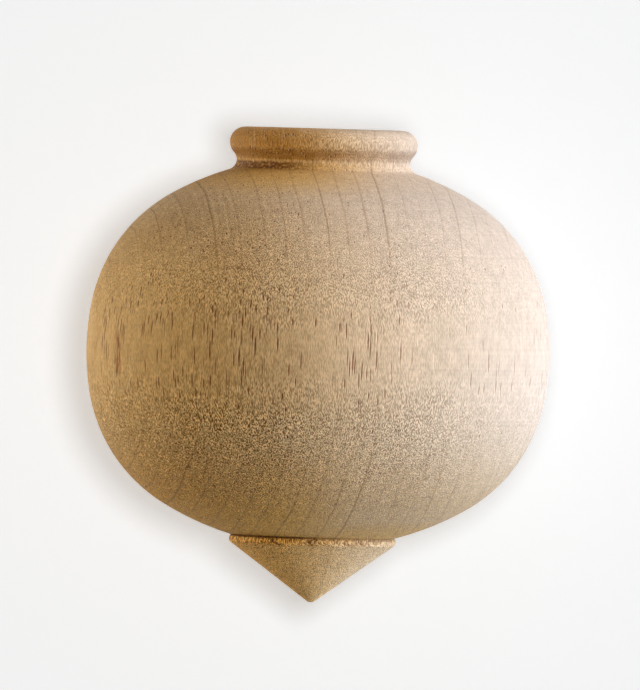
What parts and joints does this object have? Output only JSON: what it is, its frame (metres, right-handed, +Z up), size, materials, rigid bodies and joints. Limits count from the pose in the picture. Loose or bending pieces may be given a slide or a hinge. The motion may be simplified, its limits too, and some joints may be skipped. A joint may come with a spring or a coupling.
{
  "type": "wooden christmas ornament",
  "caption": "Raw wood tree ornament turned from solid wood: a beaded neck with a flat top, a full squashed ball and a blunt cone finial. It hangs by its neck.",
  "frame": {"origin": "middle of the flat top of the neck", "axes": "+Z up along the turning axis, out of the flat top; the ornament hangs below the origin, and it is round about Z"},
  "size_m": [0.0635, 0.0634, 0.065],
  "materials": {
    "wood": "raw sanded light hardwood, straight grain along the turning axis, fine open pores"
  },
  "bodies": {
    "root": {"ornament": "wood"}
  },
  "joints": []
}
